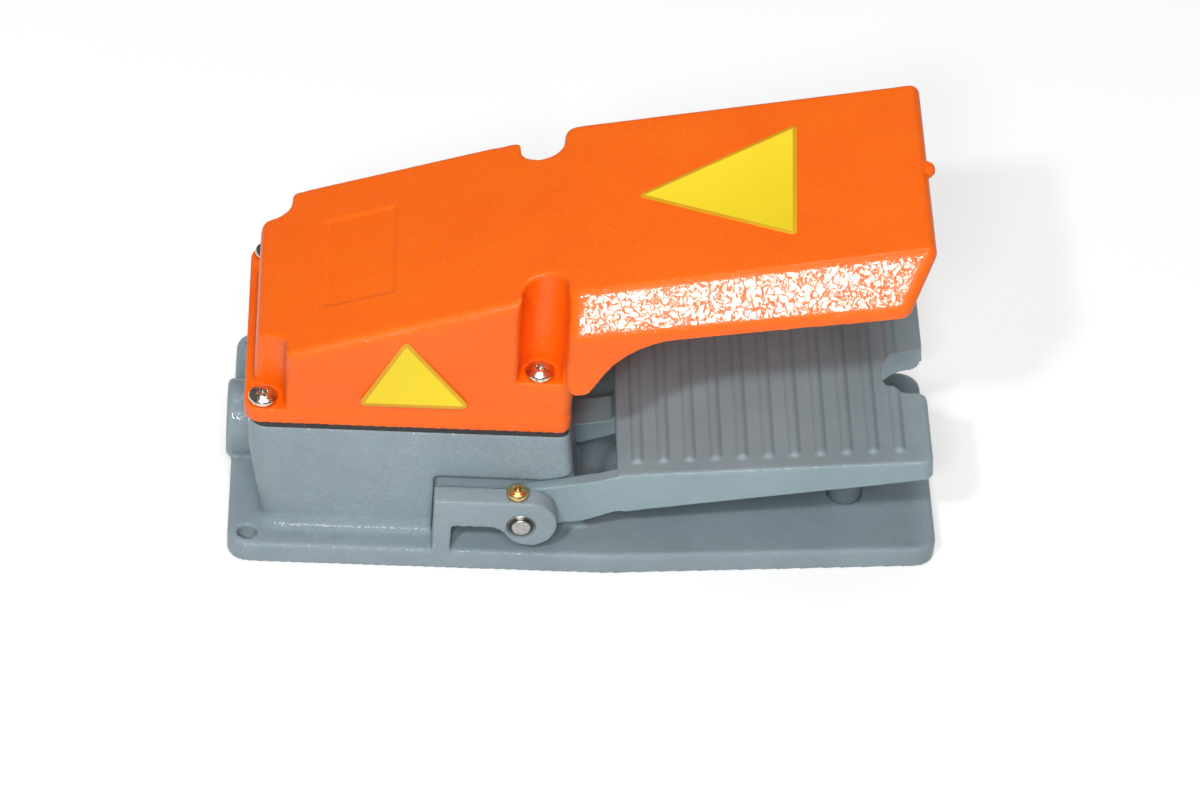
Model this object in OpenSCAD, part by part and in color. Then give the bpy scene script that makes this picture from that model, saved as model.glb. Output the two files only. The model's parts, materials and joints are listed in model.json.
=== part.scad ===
// Guarded foot switch: cast base with terminal housing, hooded cover, treadle and snap switch.
// Millimetres. +X points to the toe of the treadle, +Z is up, and the two sides mirror in Y.
// The origin is at the centre of the base plate, on its underside.

/* [Base plate] */
// Length of the base plate, rear to front
base_l = 252; // [240:1:262]
// Width of the base plate along the housing
base_w = 118; // [116:1:122]
// Length of the front stretch that tapers in
taper_l = 118.5; // [105:0.5:125]
// Thickness of the base plate
base_t = 8.3; // [7.5:0.1:10]
// Corner radius of the base plate in plan
base_corner_r = 8; // [6:0.5:10]
// Radius of the top edge of the base plate
base_edge_r = 1.6; // [1:0.1:2]
// Diameter of the holes that fix the base to the floor
mount_hole_d = 7; // [6:0.1:8]
// Distance of a rear hole from both edges
mount_hole_inset = 7; // [6.5:0.1:8]
// Distance of the front hole from the front edge
front_hole_inset = 13; // [12:0.5:15]

/* [Housing] */
// Length of the housing at its foot
foot_l = 113; // [112:0.5:116]
// Width of the housing at its foot
foot_w = 96; // [95:0.5:98]
// Distance from the rear edge of the base to the foot
foot_gap = 12; // [11:0.5:13]
// Length of the housing at its rim
rim_l = 112.2; // [111:0.2:114]
// Width of the housing at its rim
rim_w = 90.5; // [90:0.5:94]
// How far the rear wall leans out up to the rim
rim_lean = 5.6; // [4.5:0.1:6]
// Height of the housing above the base plate
housing_h = 42.5; // [40:0.5:46]
// Height of the upright band below the rim
rim_band_h = 12; // [12:0.5:16]
// Corner radius of the housing in plan, rear
housing_corner_r = 6.5; // [5:0.5:8]
// Corner radius of the housing in plan, front
housing_front_r = 4; // [3:0.5:5]
// Wall of the housing
wall_t = 4.5; // [4:0.1:5]
// Floor under the terminal space
floor_t = 4; // [3.5:0.1:5]
// Fillet between the housing and the base plate
foot_fillet_r = 4; // [3:0.25:5]
// Depth of the side recess that lets the treadle arms past
recess_y = 43.5; // [43:0.1:44]
// Clearance of the side recess over the ears and the treadle arms
recess_gap = 0.6; // [0.4:0.1:1]

/* [Cable inlet] */
// Outer diameter of the inlet boss
inlet_boss_d = 28; // [26:0.5:29]
// Core diameter of the inlet thread
inlet_bore_d = 18.6; // [17:0.1:20]
// Height of the inlet axis above the underside
inlet_z = 16.4; // [16:0.2:18]
// How far the boss stands behind the base plate
inlet_proud = 2; // [1.5:0.5:5]
// Bevel on the end of the boss
inlet_bevel = 1.2; // [0.5:0.1:2]

/* [Pivot] */
// Distance of the pivot behind the front of the foot
pivot_setback = 22; // [21:0.5:24]
// Height of the pivot above the base plate
pivot_h = 12; // [12:0.25:14]
// Diameter of the pivot pins
pin_d = 10; // [9:0.1:10.5]
// Bevel on the outer end of a pin
pin_bevel = 1.6; // [1:0.1:2]
// Depth of the blind seat of a pin in the housing wall
pin_seat_l = 3; // [2.5:0.1:3.2]
// Radius of the round end of an ear
ear_r = 9.6; // [9.2:0.1:10]
// How far the round end is centred in front of the pin
ear_lead = 3; // [2:0.1:3.5]
// How far the round end is centred above the pin
ear_lift = 1.2; // [0.6:0.1:1.5]
// Thickness of an ear
ear_t = 8.75; // [8.3:0.05:8.9]
// Height of the bar of an ear
ear_bar_h = 11.4; // [10:0.1:12]
// Length of an ear from the pin to its rear end
ear_l = 31; // [30:0.5:33]
// Width of the leg under the ear
leg_w = 6.6; // [6:0.1:8]
// Radius between the bar and the round of the ear
ear_blend_r = 8; // [6:0.5:9]
// Radial clearance of a turning fit
turn_gap = 0.05; // [0.02:0.01:0.08]
// Clearance between pieces that move past each other
side_gap = 0.3; // [0.3:0.05:0.4]

/* [Treadle] */
// Width of the treadle and of the front of the base
treadle_w = 99; // [98.5:0.1:99.5]
// Distance from the pivot to the rear edge of the treadle
treadle_reach = 32.8; // [32:0.2:35]
// Length of the tread
tread_l = 110.6; // [108:0.2:112]
// Height of the rear edge of the treadle above the pivot
treadle_rise = 17.4; // [17:0.2:19]
// Slope of the tread
tread_pitch = 6.1; // [5.5:0.1:6.5]
// Thickness of the tread and its skirt
tread_t = 4; // [3.5:0.1:4.5]
// Depth of the skirt at the rear
skirt_rear_h = 16.8; // [16:0.2:17.4]
// Depth of the skirt at the front
skirt_front_h = 8.4; // [7:0.2:9]
// Radius of the tread edges
tread_edge_r = 1.4; // [1:0.1:2]
// Radius of the rear corners of the tread in plan
tread_rear_r = 1.8; // [1.6:0.1:2.5]
// Radius of the front corners of the tread in plan
tread_front_r = 4; // [3:0.5:5]
// Number of ridges across the tread
ridge_n = 11; // [9:1:11]
// Distance from ridge to ridge
ridge_pitch = 9.17; // [9:0.01:9.2]
// Length of a ridge between the centres of its ends
ridge_l = 83; // [78:0.5:86]
// Width of a ridge
ridge_w = 4.2; // [3.5:0.1:5]
// Height of a ridge
ridge_h = 1.4; // [1:0.1:1.7]
// Radius of the notch at the toe
notch_r = 11.5; // [10:0.5:12]
// Depth of the notch
notch_l = 15.6; // [14:0.2:17]
// Radius of the lips of the notch
notch_lip_r = 4; // [3:0.5:5]
// Thickness of an arm of the treadle
arm_t = 5; // [4.6:0.1:5.2]
// Radius of the hub of an arm
hub_r = 8.5; // [8:0.1:9]
// Full stroke of the treadle in degrees
stroke = 9; // [8:0.5:9.5]

/* [Cover] */
// Thickness of the gasket
gasket_t = 2.5; // [2:0.1:3]
// Height of the flange of the cover
flange_h = 6; // [5.5:0.1:7]
// How far the flange stands behind the rim
flange_rear = 1.9; // [1.5:0.1:2.5]
// How far the flange stands outside the rim at the sides
flange_side = 0.8; // [0.5:0.05:1]
// Wall of the cover and its hood
cover_t = 4; // [3.5:0.1:4.5]
// Height of the cover at its rear edge
cover_rear_h = 27.5; // [26:0.5:30]
// Slope of the rear roof
rear_pitch = 18.7; // [17.5:0.1:20]
// Slope of the hood roof
hood_pitch = 11.7; // [10:0.1:13]
// Length of the hood from the bend of the roof
hood_l = 120.4; // [114:0.2:123]
// Width of the roof
roof_w = 93.2; // [92:0.2:95]
// Width of the hood at its rear end
hood_rear_w = 114; // [112:0.5:116]
// Width of the hood at its front end
hood_front_w = 118; // [117:0.5:120]
// Slope of the slanted side of the hood
slant_angle = 53; // [50:0.5:56]
// Height of the upright lip under the slanted side
lip_h = 3.8; // [3:0.1:5]
// How far the lip stops behind the front edge of the roof
hood_rake = 10.6; // [8:0.1:12]
// Radius of the outer edges of the cover
cover_edge_r = 3.4; // [2.5:0.1:4]
// How far the cheek hangs below the lip at the rear
cheek_h = 20.8; // [18:0.2:23]
// Slope of the front edge of the cheek
cheek_angle = 62; // [58:1:66]
// Radius of the lowest point of the cheek
cheek_tip_r = 5; // [4:0.25:6]
// Radius that leads from the cheek into the lip
cheek_blend_r = 36; // [30:1:40]
// Radius of the inner edges of the cover
cover_inner_r = 1; // [0.8:0.1:1.4]
// Length of the plate recess along the roof
plate_l = 26; // [22:0.5:30]
// Width of the plate recess
plate_w = 48; // [40:1:54]
// Depth of the plate recess
plate_depth = 0.6; // [0.4:0.1:1]
// Radius of the nub on the front edge of the hood
nub_r = 4; // [3:0.25:5]
// How far the nub stands out
nub_out = 1.8; // [1:0.1:2.5]

/* [Cover screws] */
// Thread diameter of the cover screws
cover_screw_d = 5; // [4.5:0.1:5.2]
// Head diameter of the cover screws
cover_head_d = 10.2; // [9.5:0.1:10.6]
// Head height of the cover screws
cover_head_h = 3.6; // [3:0.1:4]
// Depth of a screw in the housing
cover_screw_grip = 11; // [9:0.5:11.5]
// Distance of the rear screws from the rear of the rim
rear_screw_inset = 4.6; // [4.4:0.1:5]
// Distance of the front screws from the front of the rim
front_screw_inset = 12; // [11.8:0.1:12.6]
// Distance between a screw of one side and that of the other
cover_screw_span = 80.6; // [80:0.2:81.4]
// Radius of the pocket about a screw
pocket_r = 7.6; // [7.2:0.1:8]
// Radius of the upright edges of a pocket
pocket_edge_r = 3.6; // [2.5:0.1:4]
// Wall about a pocket, inside the cover
pocket_wall = 3.5; // [3:0.1:4]
// Height of the front ledges above the edge of the cover
front_ledge_h = 21.7; // [20:0.2:24]
// Radius of the screw columns in the housing
column_r = 6; // [5.5:0.1:6.5]

/* [Lock screws] */
// Thread diameter of the screws that lock the pins
lock_screw_d = 4; // [3.5:0.1:4.5]
// Head diameter of the lock screws
lock_head_d = 8; // [7:0.1:8.4]
// Head height of the lock screws
lock_head_h = 3.4; // [2.8:0.1:3.8]
// Distance of a lock screw behind the pin axis
lock_back = 1.8; // [1:0.1:2]
// Distance of a lock screw from the inner face of its ear
lock_inset = 4; // [3.9:0.05:4.4]

/* [Return spring] */
// Outer diameter of the return spring
spring_d = 13; // [12:0.1:13.4]
// Wire diameter of the return spring
spring_wire = 1.6; // [1.4:0.1:1.8]
// Length of the spring at rest
spring_l = 28; // [26:0.5:30]
// Distance of the spring behind the pivot
spring_back = 19; // [18:0.25:19.5]
// Working turns of the spring
spring_turns = 6; // [5:1:7]

/* [Tongue] */
// Width of the tongue that works the switch
tongue_w = 14; // [13.6:0.1:15]
// Height of the tongue
tongue_h = 9; // [8:0.1:9.5]
// Length of the tongue behind the pivot
tongue_l = 42; // [41.5:0.1:43]
// Bottom of the tongue below the pivot
tongue_drop = 4.3; // [4:0.1:5]
// Distance of the adjusting screw behind the pivot
adjuster_back = 36.5; // [36:0.1:37]
// Thread diameter of the adjusting screw
adjuster_d = 5; // [4.5:0.1:5.5]
// Head diameter of the adjusting screw
adjuster_head_d = 8.5; // [8:0.1:9]
// Head height of the adjusting screw
adjuster_head_h = 3; // [2.6:0.1:3.4]
// Width over flats of the lock nut
nut_flats = 8; // [7.5:0.1:8.5]
// Height of the lock nut
nut_h = 3.2; // [2.8:0.1:3.6]

/* [Snap switch] */
// Length of the switch
switch_l = 49.2; // [48:0.1:50]
// Thickness of the switch
switch_w = 17.4; // [17:0.1:18]
// Height of the switch
switch_h = 24.2; // [23:0.1:25]
// Distance between the two fixing holes of the switch
switch_pitch = 25.4; // [24:0.1:26]
// Length of the lever from its pin to the roller
lever_l = 41; // [40:0.2:42]
// Thickness of the lever strip
lever_t = 1; // [0.8:0.1:1.2]
// Width of the lever
lever_w = 8; // [7.5:0.1:9]
// Diameter of the roller
roller_d = 9.6; // [9:0.1:10]
// Width of the roller
roller_w = 4.8; // [4.4:0.1:5.2]
// Diameter of the plunger
plunger_d = 3.2; // [2.8:0.1:3.6]
// Distance of the plunger from the lever pin
plunger_arm = 8; // [7.5:0.1:9]
// Travel of the plunger
plunger_travel = 0.9; // [0.8:0.05:0.95]
// Slope of the lever strip at rest, in degrees
lever_tilt = 9; // [8.6:0.1:9.6]
// Diameter of the screws that fix the switch and the brackets
small_screw_d = 4; // [3.6:0.1:4.2]
// Head diameter of those screws
small_head_d = 7.6; // [7:0.1:8]
// Head height of those screws
small_head_h = 2.6; // [2.2:0.1:3]
// Thickness of the sheet steel brackets
sheet_t = 2; // [1.6:0.1:2.4]

/* [Rubber] */
// Diameter of the stop buffers under the treadle
buffer_d = 12; // [11:0.5:13]
// Height of the stop buffers above the base plate
buffer_h = 10; // [9:0.5:11]
// Depth of the buffer seats
buffer_seat = 2; // [1.5:0.1:2.5]
// Diameter of the rest pad under the tongue
rest_pad_d = 9; // [8:0.5:9.5]
// Height of the rest pad
rest_pad_h = 4; // [3.5:0.1:4.5]

/* [Hidden] */
$fn = 48;
// Sides of the rounds inside a hull
hull_fn = 24;
// Overrun that lets a cut pass a face
over = 1;
// Distance of the bridge's feet and of its legs from the tongue
bridge_reach = 12;
bridge_gap = 4;
// Bridge beyond the spring, front and rear
bridge_rim = 2;
// Distance of the feet of the switch bracket from the switch
bracket_reach = 9;
// Gap between the tongue and the sides of its window
window_gap = 2;
// Floor left under a tapped hole
tapped_floor = 1.5;
// Distance of the buffers from the front of the base
buffer_inset = 31.6;
// Place of the buffers across the treadle
buffer_y_share = 0.2;
// Place of the plate recess along the rear roof
plate_x_share = 0.32;
// Thickness of a slice inside a hull
slice = 0.1;
// Sides of the small rounds inside the cover
inner_fn = 12;
// Play between a fixed pin or screw and its hole
fixed_play = 0.05;

// Places along X
rear_x = -base_l / 2;
front_x = base_l / 2;
bend_x = front_x - taper_l;
foot_rear_x = rear_x + foot_gap;
foot_front_x = foot_rear_x + foot_l;
rim_rear_x = foot_rear_x - rim_lean;
rim_front_x = rim_rear_x + rim_l;
cavity_rear_x = foot_rear_x + wall_t;
cavity_front_x = rim_front_x - wall_t;
pivot_x = foot_front_x - pivot_setback;
inlet_end_x = rear_x - inlet_proud;
treadle_x = pivot_x + treadle_reach;
tread_front_x = treadle_x + tread_l;
lock_x = pivot_x - lock_back;

// Places along Y
side_y = base_w / 2;
rim_y = rim_w / 2;
cavity_y = recess_y - wall_t;
ear_y = side_y - ear_t;
treadle_y = treadle_w / 2;
arm_y = treadle_y - arm_t;
screw_y = cover_screw_span / 2;
lock_y = ear_y + lock_inset;

// Heights
rim_z = base_t + housing_h;
cover_z = rim_z + gasket_t;
pivot_z = base_t + pivot_h;
ear_top_z = pivot_z + ear_lift + ear_r;
treadle_z = pivot_z + treadle_rise;
flange_z = cover_z + flange_h;
front_ledge_z = cover_z + front_ledge_h;

// Cover screws
rear_screw_x = rim_rear_x + rear_screw_inset;
front_screw_x = rim_front_x - front_screw_inset;

// Roof of the cover
flange_rear_x = rim_rear_x - flange_rear;
flange_y = rim_y + flange_side;
flange_step = 3;
roof_rear_x = flange_rear_x + flange_step + cover_edge_r / 8;
roof_rear_z = cover_z + cover_rear_h;
roof_bend_x = rim_front_x - cover_edge_r / 5;
roof_bend_z = roof_rear_z + (roof_bend_x - roof_rear_x) * tan(rear_pitch);
hood_front_x = roof_bend_x + hood_l;
roof_y = roof_w / 2;

// Tongue, spring and adjusting screw
tongue_bottom_z = pivot_z - tongue_drop;
tongue_top_z = tongue_bottom_z + tongue_h;
tongue_rear_x = pivot_x - tongue_l;
spring_x = pivot_x - spring_back;
spring_top_z = tongue_top_z + spring_l;
ring_steps = 8;
// Free width inside the turns of the spring, whose rings have flat chords
spring_inner_d = (spring_d - 2 * spring_wire) * cos(180 / ring_steps);
adjuster_x = pivot_x - adjuster_back;
adjuster_clear = 0.9;
adjuster_top_z = tongue_top_z + nut_h + adjuster_clear + adjuster_head_h;

// Switch
roller_x = adjuster_x + adjuster_clear;
roller_z = adjuster_top_z + side_gap + roller_d / 2;
lever_pin_d = 2;
roller_drop = (lever_pin_d + roller_d) / 2;
lever_pin_x = roller_x - lever_l * cos(lever_tilt) + roller_drop * sin(lever_tilt);
lever_pin_z = roller_z + lever_l * sin(lever_tilt) + roller_drop * cos(lever_tilt);
plunger_x = lever_pin_x + plunger_arm;
plunger_tip_z = lever_pin_z - lever_pin_d / 2 / cos(lever_tilt)
    - (plunger_arm - plunger_d / 2) * tan(lever_tilt) + side_gap;
switch_z = lever_pin_z + lever_pin_d / 2 + lever_t + side_gap;
plunger_show = switch_z - plunger_tip_z;
switch_rear_x = lever_pin_x - lever_pin_d;
switch_mid_x = switch_rear_x + switch_l / 2;
switch_mid_z = switch_z + switch_h / 2;
switch_y = switch_w / 2;
boss_top_z = 2 * floor_t;
boss_r = small_head_d / 2 + side_gap;

function tread_top(x) = treadle_z + (x - treadle_x) * tan(tread_pitch);
function roof_top(x) = x < roof_bend_x
    ? roof_rear_z + (x - roof_rear_x) * tan(rear_pitch)
    : roof_bend_z + (x - roof_bend_x) * tan(hood_pitch);
// Drop of the slanted side where the hood is w wide
function slant_h(w) = (w / 2 - roof_y) * tan(slant_angle);
function arc(c, r, a0, a1, n) = [for (i = [0 : n]) let (a = a0 + (a1 - a0) * i / n) c + r * [cos(a), sin(a)]];

// Small shapes shared by several pieces

module both_sides() {
    children();
    mirror([0, 1, 0]) children();
}

// Rectangle from corner to corner with corners of radius r0 at the rear and r1 at the front
module round_rect(x0, x1, y1, r0, r1) {
    translate([x0 + r0, -y1]) square([x1 - x0 - r0 - r1, 2 * y1]);
    translate([x0, r0 - y1]) square([x1 - x0 - r1, 2 * (y1 - r0)]);
    translate([x0 + r0, r1 - y1]) square([x1 - x0 - r0, 2 * (y1 - r1)]);
    for (s = [-1, 1]) {
        translate([x0 + r0, s * (y1 - r0)]) circle(r0);
        translate([x1 - r1, s * (y1 - r1)]) circle(r1);
    }
}

// Stack of discs with a rounded top edge, for the corners of a plate inside a hull
module edge_disc(r, edge, h) {
    for (a = [0 : 22.5 : 90]) {
        cylinder(r = r - edge * (1 - cos(a)), h = h - edge * (1 - sin(a)), $fn = hull_fn);
    }
}

// Profile drawn in X and Z, made solid from y0 to y1
module side_solid(y0, y1) {
    translate([0, y1, 0]) rotate([90, 0, 0]) linear_extrude(y1 - y0) children();
}

// Cross recess of a screw
module cross_slot(d, h) {
    for (turn = [0, 90]) {
        rotate([0, 0, turn]) translate([-d / 2, -d / 10, 0]) cube([d, d / 5, h]);
    }
}

// Pan head screw, head down to z = 0 and shank below it
module pan_screw(head_d, head_h, shank_d, shank_l) {
    dome_r = head_d / 2;
    difference() {
        rotate_extrude() {
            intersection() {
                square([dome_r, head_h]);
                scale([1, 1.25 * head_h / dome_r]) circle(dome_r);
            }
        }
        translate([0, 0, head_h / 3]) cross_slot(head_d * 0.62, head_h);
    }
    translate([0, 0, -shank_l]) cylinder(d = shank_d, h = shank_l);
}

// Slope of the upper edge of an arm
arm_pitch = 17;

// Base casting

module base_disc() {
    edge_disc(base_corner_r, base_edge_r, base_t);
}

module base_plate() {
    hull() {
        for (s = [-1, 1]) {
            translate([rear_x + base_corner_r, s * (side_y - base_corner_r), 0]) base_disc();
            translate([bend_x, s * (side_y - base_corner_r), 0]) base_disc();
            translate([front_x - base_corner_r, s * (treadle_y - base_corner_r), 0]) base_disc();
        }
    }
}

module housing_ring(x0, x1, y1, z) {
    r0 = housing_corner_r;
    r1 = housing_front_r;
    for (s = [-1, 1]) {
        translate([x0 + r0, s * (y1 - r0), z]) cylinder(r = r0, h = slice, $fn = hull_fn);
        translate([x1 - r1, s * (y1 - r1), z]) cylinder(r = r1, h = slice, $fn = hull_fn);
    }
}

module housing_outside() {
    hull() {
        housing_ring(foot_rear_x, foot_front_x, foot_w / 2, base_t - over);
        housing_ring(rim_rear_x, rim_front_x, rim_y, rim_z - rim_band_h);
        housing_ring(rim_rear_x, rim_front_x, rim_y, rim_z - slice);
    }
}

// Concave fillet, foot at the origin and flare towards +X
module fillet_profile() {
    difference() {
        translate([-over, 0]) square([foot_fillet_r + over, foot_fillet_r]);
        translate([foot_fillet_r, foot_fillet_r]) circle(foot_fillet_r);
    }
}

module foot_fillet() {
    r0 = housing_corner_r;
    r1 = housing_front_r;
    half_w = foot_w / 2;
    run_l = foot_l - r0 - r1;
    translate([foot_front_x, half_w - r1, base_t]) rotate([90, 0, 0])
        linear_extrude(foot_w - 2 * r1) fillet_profile();
    translate([foot_rear_x, r0 - half_w, base_t]) rotate([90, 0, 180])
        linear_extrude(foot_w - 2 * r0) fillet_profile();
    both_sides() {
        translate([foot_rear_x + r0, half_w, base_t]) rotate([90, 0, 90])
            linear_extrude(run_l) fillet_profile();
        translate([foot_rear_x + r0, half_w - r0, base_t]) rotate_extrude()
            translate([r0, 0]) fillet_profile();
        translate([foot_front_x - r1, half_w - r1, base_t]) rotate_extrude()
            translate([r1, 0]) fillet_profile();
    }
}

// Outline of an ear in X and Z
module ear_outline() {
    bar_bottom = ear_top_z - ear_bar_h;
    rear = pivot_x - ear_l;
    end = [pivot_x + ear_lead, pivot_z + ear_lift];
    reach = ear_r + ear_blend_r;
    rise = end.y - bar_bottom + ear_blend_r;
    blend = [end.x - sqrt(reach * reach - rise * rise), bar_bottom - ear_blend_r];
    touch = end + (blend - end) * ear_r / reach;
    translate(end) circle(ear_r);
    translate([rear, bar_bottom]) square([end.x - rear, ear_bar_h]);
    translate([rear, base_t - base_edge_r]) square([leg_w, bar_bottom - base_t + base_edge_r + over]);
    difference() {
        polygon([[blend.x, bar_bottom], [end.x, bar_bottom], end, touch, blend]);
        translate(blend) circle(ear_blend_r);
    }
}

module ears() {
    both_sides() side_solid(ear_y, side_y) ear_outline();
}

module inlet_boss() {
    translate([inlet_end_x, 0, inlet_z]) rotate([0, 90, 0]) {
        cylinder(d1 = inlet_boss_d - 2 * inlet_bevel, d2 = inlet_boss_d, h = inlet_bevel);
        translate([0, 0, inlet_bevel])
            cylinder(d = inlet_boss_d, h = cavity_rear_x - inlet_end_x - inlet_bevel);
    }
}

module side_recess() {
    rear = pivot_x - ear_l;
    low = ear_top_z + recess_gap;
    both_sides() side_solid(recess_y, side_y) polygon([
        [rear, base_t], [treadle_x, base_t], [treadle_x, treadle_z], [pivot_x + hub_r, low], [rear, low]]);
}

// Places of the screws that hold the bridge and the switch bracket
bridge_foot_y = tongue_w / 2 + bridge_reach;
bracket_foot_y = switch_y + bracket_reach;
bracket_feet_x = [switch_mid_x + switch_pitch / 2 - boss_r, switch_mid_x + switch_pitch / 2 + boss_r + small_head_d / 2];
earth_place = [cavity_rear_x + 2 * boss_r, -cavity_y + 2 * boss_r];
rest_x = spring_x - rest_pad_d / 3;
rest_boss_h = tongue_bottom_z - side_gap - rest_pad_h - floor_t;
buffer_x = front_x - buffer_inset;
buffer_y = treadle_w * buffer_y_share;

module floor_bosses() {
    translate([0, 0, floor_t - slice]) {
        for (s = [-1, 1]) {
            translate([spring_x, s * bridge_foot_y, 0]) cylinder(r = boss_r, h = boss_top_z - floor_t + slice);
        }
        for (x = bracket_feet_x) {
            translate([x, bracket_foot_y, 0]) cylinder(r = boss_r, h = boss_top_z - floor_t + slice);
        }
        translate([earth_place.x, earth_place.y, 0]) cylinder(r = boss_r, h = boss_top_z - floor_t + slice);
        translate([rest_x, 0, 0]) cylinder(d = rest_pad_d, h = rest_boss_h + slice);
    }
}

// Blind tapped hole below z = 0
module tapped(d, depth) {
    translate([0, 0, -depth]) cylinder(d = d + 2 * fixed_play, h = depth + over);
}

module base_housing() {
    screw_depth = boss_top_z - tapped_floor;
    window_w = tongue_w + 2 * window_gap;
    window_z = tongue_bottom_z - tongue_h / 2;
    color([0.55, 0.6, 0.63]) difference() {
        union() {
            base_plate();
            difference() {
                union() {
                    housing_outside();
                    foot_fillet();
                }
                side_recess();
            }
            inlet_boss();
            ears();
        }
        difference() {
            translate([0, 0, floor_t]) linear_extrude(rim_z)
                round_rect(cavity_rear_x, cavity_front_x, cavity_y, housing_corner_r, housing_front_r);
            both_sides() translate([front_screw_x, screw_y, 0]) cylinder(r = column_r, h = rim_z);
            floor_bosses();
        }
        translate([inlet_end_x - over, 0, inlet_z]) rotate([0, 90, 0])
            cylinder(d = inlet_bore_d, h = cavity_rear_x - inlet_end_x + 2 * over);
        translate([cavity_front_x - over, -window_w / 2, window_z])
            cube([foot_front_x + foot_fillet_r - cavity_front_x + 2 * over, window_w,
                  tongue_top_z - window_z + tongue_h / 4]);
        both_sides() {
            translate([pivot_x, side_y + over, pivot_z]) rotate([90, 0, 0])
                cylinder(d = pin_d + 2 * fixed_play, h = side_y + over - recess_y + pin_seat_l);
            translate([lock_x, lock_y, pivot_z])
                cylinder(d = lock_screw_d + 2 * fixed_play, h = ear_top_z - pivot_z + over);
            translate([rear_screw_x, screw_y, rim_z]) tapped(cover_screw_d, cover_screw_grip + side_gap);
            translate([front_screw_x, screw_y, rim_z]) tapped(cover_screw_d, cover_screw_grip + side_gap);
            translate([rear_x + mount_hole_inset, side_y - mount_hole_inset, -over])
                cylinder(d = mount_hole_d, h = base_t + 2 * over);
            translate([buffer_x, buffer_y, base_t - buffer_seat]) cylinder(d = buffer_d + 2 * fixed_play, h = buffer_seat + over);
            translate([spring_x, bridge_foot_y, boss_top_z]) tapped(small_screw_d, screw_depth);
        }
        translate([front_x - front_hole_inset, 0, -over]) cylinder(d = mount_hole_d, h = base_t + 2 * over);
        for (x = bracket_feet_x) {
            translate([x, bracket_foot_y, boss_top_z]) tapped(small_screw_d, screw_depth);
        }
        translate([earth_place.x, earth_place.y, boss_top_z]) tapped(small_screw_d, screw_depth);
    }
}

// Cover casting

// Screw pocket in plan, open towards +Y and, when back is set, towards the rear as well
module pocket_plan(back) {
    circle(pocket_r);
    translate([-pocket_r, 0]) square([2 * pocket_r, roof_y]);
    if (back) {
        translate([-roof_y, -pocket_r]) square([roof_y, roof_y + pocket_r]);
    }
}

// Plan of the walls with the screw pockets taken out and the upright edges rounded
module cover_plan(x_list) {
    offset(pocket_edge_r, $fn = hull_fn) offset(delta = -pocket_edge_r) difference() {
        translate([roof_rear_x - side_gap, -roof_y - side_gap])
            square([hood_front_x - roof_rear_x, roof_w + 2 * side_gap]);
        for (x = x_list) {
            translate([x, screw_y]) pocket_plan(x == rear_screw_x);
            mirror([0, 1]) translate([x, screw_y]) pocket_plan(x == rear_screw_x);
        }
    }
}

// Exact outline of the rear roof in X and Z, a hair under the top of the hull
module roof_outline() {
    rear = flange_rear_x - over;
    polygon([
        [rear, cover_z], [rear, roof_top(rear) - roof_lid], [roof_bend_x, roof_bend_z - roof_lid],
        [roof_bend_x + over, roof_bend_z - roof_lid], [roof_bend_x + over, cover_z]]);
}

// Ball that touches the roof, the side and the end of the cover from inside
module roof_ball(x, inset, r) {
    translate([x, 0, roof_top(x) - inset / cos(rear_pitch)]) both_sides()
        translate([0, roof_y - inset, 0]) sphere(r, $fn = hull_fn);
}

module box_outside() {
    r0 = housing_corner_r;
    r1 = housing_front_r;
    hull() {
        for (s = [-1, 1]) {
            translate([flange_rear_x + flange_step + r0, s * (rim_y - r0), cover_z])
                cylinder(r = r0, h = flange_h, $fn = hull_fn);
            translate([roof_bend_x - r1, s * (rim_y - r1), cover_z]) cylinder(r = r1, h = flange_h, $fn = hull_fn);
        }
        roof_ball(roof_rear_x + cover_edge_r, cover_edge_r, cover_edge_r);
        roof_ball(roof_bend_x, cover_edge_r, cover_edge_r);
    }
}

module box_inside() {
    r = housing_corner_r - cover_t / 2;
    inset = cover_t + cover_inner_r;
    rear = flange_rear_x + flange_step + cover_t;
    hull() {
        for (x = [rear + r, cavity_front_x - r]) {
            for (s = [-1, 1]) {
                translate([x, s * (rim_y - cover_t - r), cover_z - over]) cylinder(r = r, h = over, $fn = hull_fn);
            }
        }
        for (x = [rear + cover_inner_r, cavity_front_x - cover_inner_r]) {
            translate([x, 0, roof_top(x) - inset / cos(rear_pitch)]) both_sides()
                translate([0, roof_y - inset, 0]) sphere(cover_inner_r, $fn = inner_fn);
        }
    }
}

// Half section of the hood, moved in from the skin by inset: roof corner and slant corner
function hood_corners(w, inset) = [
    [roof_y - inset * tan(slant_angle / 2), -inset],
    [w / 2 - inset, -slant_h(w) - inset * tan((90 - slant_angle) / 2)]];

// Draft of the lip and cheeks, from top to bottom
lip_draft = slice;
// How far the exact roofs lie under the tops of the hulls
roof_lid = slice / 2;
hood_deep = slant_h(hood_front_w) + lip_h + cheek_h;
rake_share = hood_rake / (slant_h(hood_front_w) + lip_h);

function hood_w(x) = hood_rear_w + (hood_front_w - hood_rear_w) * (x - roof_bend_x) / hood_l;

module hood_section(x, inset, r, rake, sides) {
    for (s = [-1, 1]) {
        for (i = [0, 1]) {
            cut_x = x + rake * (hood_corners(hood_w(x), inset)[i].y + inset);
            c = hood_corners(hood_w(cut_x), inset)[i];
            translate([cut_x, s * c.x, roof_top(cut_x) + c.y]) sphere(r, $fn = sides);
        }
        low_x = x - rake * hood_deep;
        translate([low_x, s * (hood_w(low_x) / 2 - inset - lip_draft), roof_top(low_x) - hood_deep])
            sphere(r, $fn = sides);
    }
}

module hood_outside() {
    r = cover_edge_r;
    hull() {
        hood_section(roof_bend_x + slice, r, r, 0, hull_fn);
        hood_section(hood_front_x - r, r, r, rake_share, hull_fn);
    }
}

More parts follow.
